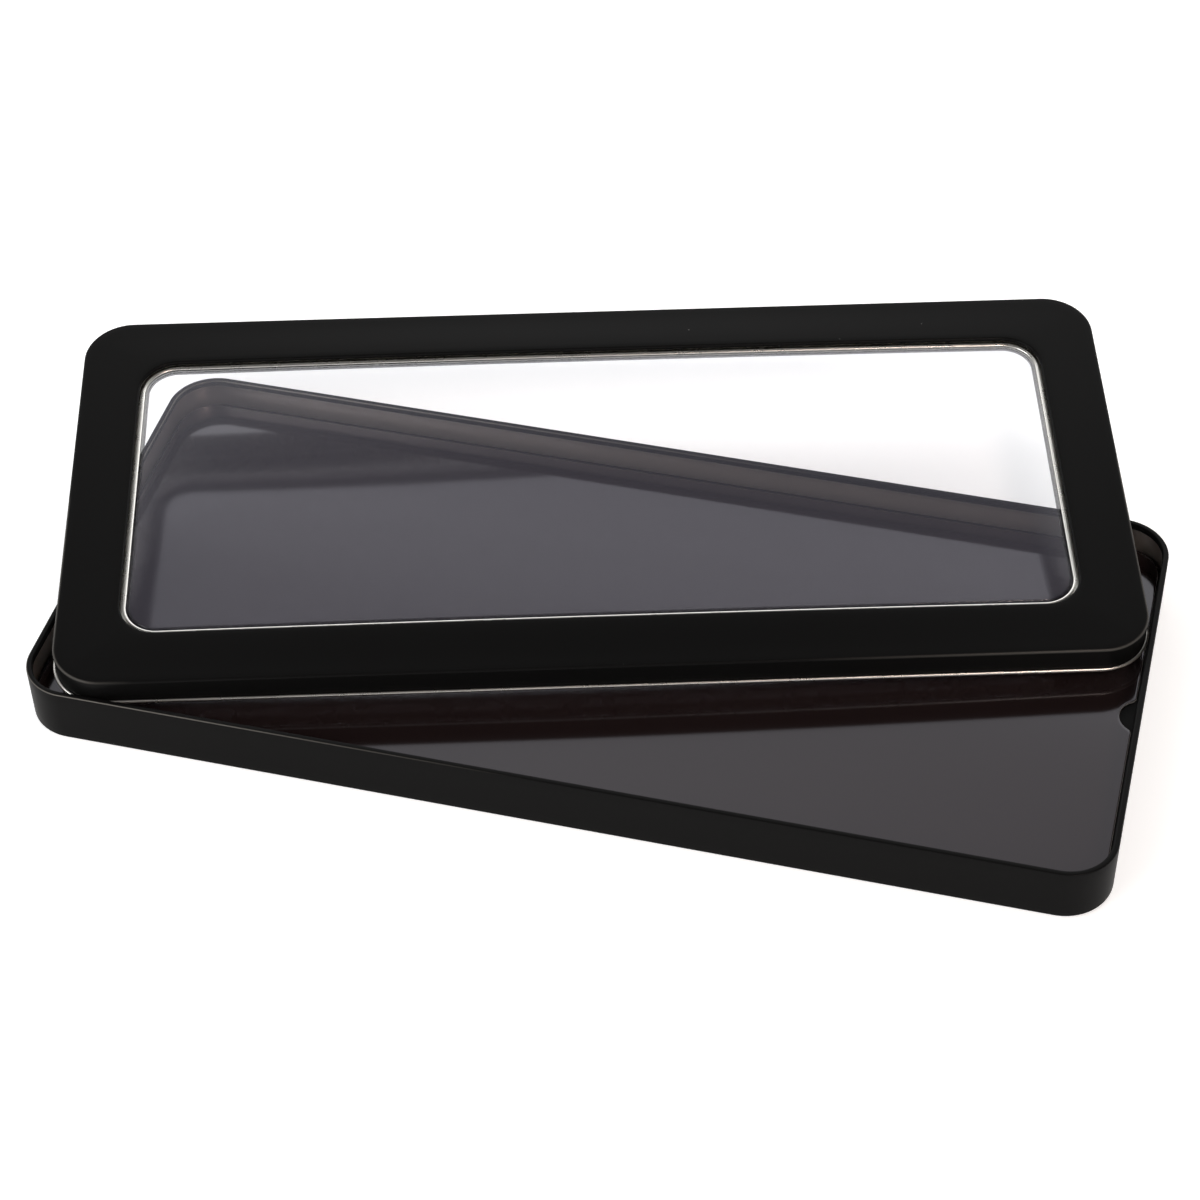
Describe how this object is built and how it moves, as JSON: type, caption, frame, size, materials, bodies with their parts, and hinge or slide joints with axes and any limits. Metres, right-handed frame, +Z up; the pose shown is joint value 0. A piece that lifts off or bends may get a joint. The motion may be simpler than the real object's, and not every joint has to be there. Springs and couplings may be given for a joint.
{
  "type": "palette tin",
  "caption": "Long flat metal palette tin: an open tray with a raised floor and a lift-out magnetic liner, and a loose slip-over lid with a clear window lying askew on its rim.",
  "frame": {"origin": "centre of the tray's flat underside", "axes": "+X along the tray's long side, +Y across it away from the viewer's side, +Z up out of the tray"},
  "size_m": [0.2701, 0.1776, 0.0293],
  "materials": {
    "black_lacquer": "satin stoved lacquer on tinplate",
    "bare_tinplate": "bright rolled tinplate",
    "glossy_vinyl": "glossy vinyl face of a flexible magnet sheet",
    "clear_sheet": "clear polyester sheet"
  },
  "bodies": {
    "tray": {"tray_shell": "black_lacquer", "raised_floor": "black_lacquer"},
    "liner": {"liner": "glossy_vinyl"},
    "lid": {"lid_shell": "black_lacquer", "window_ring": "bare_tinplate", "window_pane": "clear_sheet"}
  },
  "joints": [
    {"name": "lid_lift", "type": "slide", "parent": "tray", "child": "lid", "axis": [0, 0, 1], "range_m": [0, 0.06]},
    {"name": "liner_lift", "type": "slide", "parent": "tray", "child": "liner", "axis": [0, 0, 1], "range_m": [0, 0.025]}
  ],
  "couplings": [
    {"joint": "liner_lift", "follows": "lid_lift", "ratio": 0.4}
  ]
}
